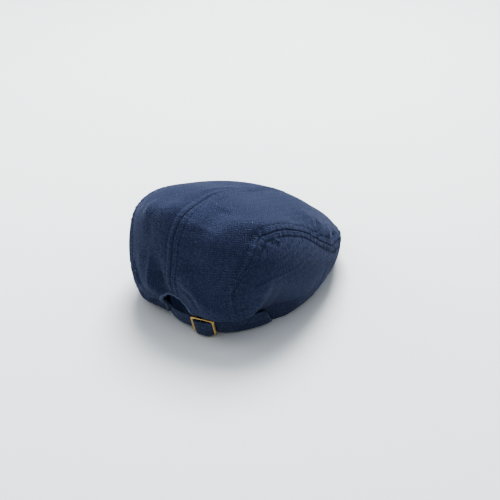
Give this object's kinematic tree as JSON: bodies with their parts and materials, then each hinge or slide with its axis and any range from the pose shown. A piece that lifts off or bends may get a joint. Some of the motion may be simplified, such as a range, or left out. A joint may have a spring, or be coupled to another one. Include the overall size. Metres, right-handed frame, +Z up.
{
  "type": "flat cap",
  "caption": "soft cloth flat cap with a full panelled crown, short stiff peak and a buckled strap across a bound arch at the back",
  "frame": {"origin": "the middle of the cap's footprint, on the surface that it lies on", "axes": "+Z up, -Y the front, where the peak is, +X the wearer's left"},
  "size_m": [0.2038, 0.266, 0.132],
  "materials": {
    "cap_cloth": "navy cotton twill",
    "brass": "polished"
  },
  "bodies": {
    "root": {"crown_top_left": "cap_cloth", "crown_top_right": "cap_cloth", "side_panel_left": "cap_cloth", "side_panel_right": "cap_cloth", "peak": "cap_cloth", "arch_binding": "cap_cloth", "strap": "cap_cloth", "buckle": "brass"}
  },
  "joints": []
}
